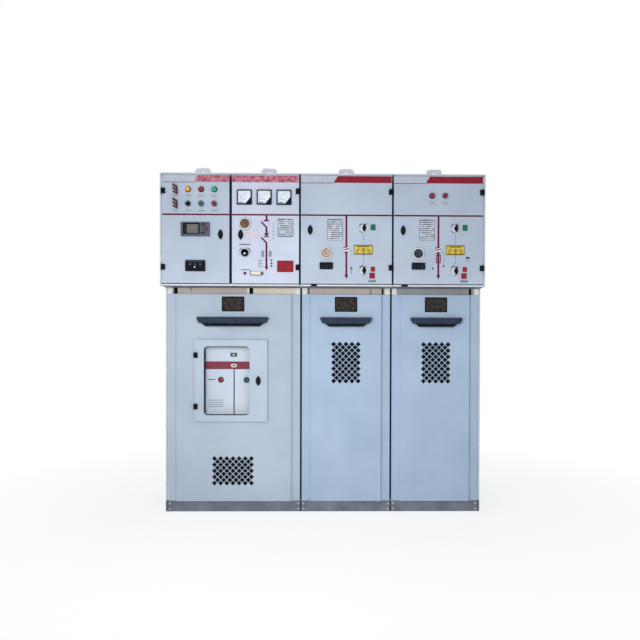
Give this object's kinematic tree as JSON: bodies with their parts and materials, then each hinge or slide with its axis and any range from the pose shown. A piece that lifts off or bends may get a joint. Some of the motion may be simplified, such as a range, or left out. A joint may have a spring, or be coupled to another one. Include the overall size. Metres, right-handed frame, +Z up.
{
  "type": "gas insulated switchgear row with breaker cubicle",
  "caption": "Row of grey sheet steel switchgear cubicles with hinged instrument doors above, lift-off vented doors below and a windowed inspection door in front of the breaker",
  "frame": {"origin": "middle of the base on the floor", "axes": "+X to the right along the row, front to -Y, +Z up"},
  "size_m": [1.7496, 0.97, 1.93],
  "materials": {
    "cabinet_paint": "satin light grey powder coat",
    "plinth_paint": "matt dark grey powder coat",
    "zinc": "zinc plated sheet",
    "beige_paint": "matt beige grey paint",
    "breaker_white": "white moulded front",
    "red_paint": "satin red enamel",
    "instrument_grey": "moulded grey plastic",
    "black_plastic": "moulded black plastic",
    "smoked_glass": "dark tinted pane",
    "clear_glass": "clear pane"
  },
  "bodies": {
    "cabinet": {"plinth_rails": "plinth_paint", "plinth_sides": "plinth_paint", "floor_plates": "cabinet_paint", "lower_walls": "cabinet_paint", "upper_walls": "cabinet_paint", "back_panels": "cabinet_paint", "roof_panels": "cabinet_paint", "shelves": "cabinet_paint", "compartment_backs": "cabinet_paint", "posts": "zinc", "recess_panels": "beige_paint", "lifting_lugs": "cabinet_paint", "door_hinges": "black_plastic", "breaker_case": "breaker_white", "breaker_controls": "red_paint", "breaker_stand": "zinc"},
    "instrument_door": {"instrument_door": "cabinet_paint", "instrument_fittings": "black_plastic", "relay_unit": "instrument_grey", "test_block": "black_plastic"},
    "instrument_lock": {"instrument_lock": "black_plastic"},
    "breaker_door": {"breaker_door": "cabinet_paint", "panel_meters": "black_plastic", "breaker_fittings": "zinc"},
    "breaker_lock": {"breaker_lock": "black_plastic"},
    "control_knob": {"control_knob": "black_plastic"},
    "switch_door": {"switch_door": "cabinet_paint", "switch_fittings": "zinc"},
    "switch_lock": {"switch_lock": "black_plastic"},
    "switch_upper_pointer": {"switch_upper_pointer": "black_plastic"},
    "switch_lower_pointer": {"switch_lower_pointer": "black_plastic"},
    "fuse_door": {"fuse_door": "cabinet_paint", "fuse_fittings": "zinc"},
    "fuse_lock": {"fuse_lock": "black_plastic"},
    "fuse_upper_pointer": {"fuse_upper_pointer": "black_plastic"},
    "fuse_lower_pointer": {"fuse_lower_pointer": "black_plastic"},
    "breaker_cable_door": {"breaker_cable_door": "cabinet_paint", "breaker_handle": "black_plastic", "breaker_view_glass": "smoked_glass"},
    "switch_cable_door": {"switch_cable_door": "cabinet_paint", "switch_handle": "black_plastic", "switch_view_glass": "smoked_glass"},
    "fuse_cable_door": {"fuse_cable_door": "cabinet_paint", "fuse_handle": "black_plastic", "fuse_view_glass": "smoked_glass"},
    "inspection_door": {"inspection_door": "cabinet_paint", "inspection_glass": "clear_glass"},
    "inspection_lock": {"inspection_lock": "black_plastic"}
  },
  "joints": [
    {"name": "instrument_door_hinge", "type": "hinge", "parent": "cabinet", "child": "instrument_door", "pos_m": [-0.8588, -0.463, 0], "axis": [0, 0, -1], "range_deg": [0, 100]},
    {"name": "breaker_door_hinge", "type": "hinge", "parent": "cabinet", "child": "breaker_door", "pos_m": [-0.1332, -0.463, 0], "axis": [0, 0, 1], "range_deg": [0, 100]},
    {"name": "switch_door_hinge", "type": "hinge", "parent": "cabinet", "child": "switch_door", "pos_m": [0.3668, -0.463, 0], "axis": [0, 0, 1], "range_deg": [0, 100]},
    {"name": "fuse_door_hinge", "type": "hinge", "parent": "cabinet", "child": "fuse_door", "pos_m": [0.8588, -0.463, 0], "axis": [0, 0, 1], "range_deg": [0, 100]},
    {"name": "instrument_lock_turn", "type": "hinge", "parent": "instrument_door", "child": "instrument_lock", "pos_m": [-0.55, -0.455, 1.519], "axis": [0, 1, 0], "range_deg": [0, 90]},
    {"name": "breaker_lock_turn", "type": "hinge", "parent": "breaker_door", "child": "breaker_lock", "pos_m": [-0.442, -0.455, 1.519], "axis": [0, 1, 0], "range_deg": [0, 90]},
    {"name": "control_knob_turn", "type": "hinge", "parent": "breaker_door", "child": "control_knob", "pos_m": [-0.4191, -0.455, 1.421], "axis": [0, 1, 0], "range_deg": [-45, 45]},
    {"name": "switch_lock_turn", "type": "hinge", "parent": "switch_door", "child": "switch_lock", "pos_m": [-0.0698, -0.455, 1.546], "axis": [0, 1, 0], "range_deg": [0, 90]},
    {"name": "switch_upper_pointer_turn", "type": "hinge", "parent": "switch_door", "child": "switch_upper_pointer", "pos_m": [0.221, -0.455, 1.558], "axis": [0, 1, 0], "range_deg": [0, 90]},
    {"name": "switch_lower_pointer_turn", "type": "hinge", "parent": "switch_door", "child": "switch_lower_pointer", "pos_m": [0.221, -0.455, 1.33], "axis": [0, 1, 0], "range_deg": [0, 90]},
    {"name": "fuse_lock_turn", "type": "hinge", "parent": "fuse_door", "child": "fuse_lock", "pos_m": [0.4302, -0.455, 1.546], "axis": [0, 1, 0], "range_deg": [0, 90]},
    {"name": "fuse_upper_pointer_turn", "type": "hinge", "parent": "fuse_door", "child": "fuse_upper_pointer", "pos_m": [0.717, -0.455, 1.558], "axis": [0, 1, 0], "range_deg": [0, 90]},
    {"name": "fuse_lower_pointer_turn", "type": "hinge", "parent": "fuse_door", "child": "fuse_lower_pointer", "pos_m": [0.717, -0.455, 1.33], "axis": [0, 1, 0], "range_deg": [0, 90]},
    {"name": "breaker_cable_door_lift", "type": "slide", "parent": "cabinet", "child": "breaker_cable_door", "axis": [0, 0, 1], "range_m": [0, 0.025]},
    {"name": "switch_cable_door_lift", "type": "slide", "parent": "cabinet", "child": "switch_cable_door", "axis": [0, 0, 1], "range_m": [0, 0.025]},
    {"name": "fuse_cable_door_lift", "type": "slide", "parent": "cabinet", "child": "fuse_cable_door", "axis": [0, 0, 1], "range_m": [0, 0.025]},
    {"name": "inspection_door_hinge", "type": "hinge", "parent": "breaker_cable_door", "child": "inspection_door", "pos_m": [-0.705, -0.38, 0], "axis": [0, 0, -1], "range_deg": [0, 100]},
    {"name": "inspection_lock_turn", "type": "hinge", "parent": "inspection_door", "child": "inspection_lock", "pos_m": [-0.358, -0.372, 0.7295], "axis": [0, 1, 0], "range_deg": [0, 90]}
  ]
}
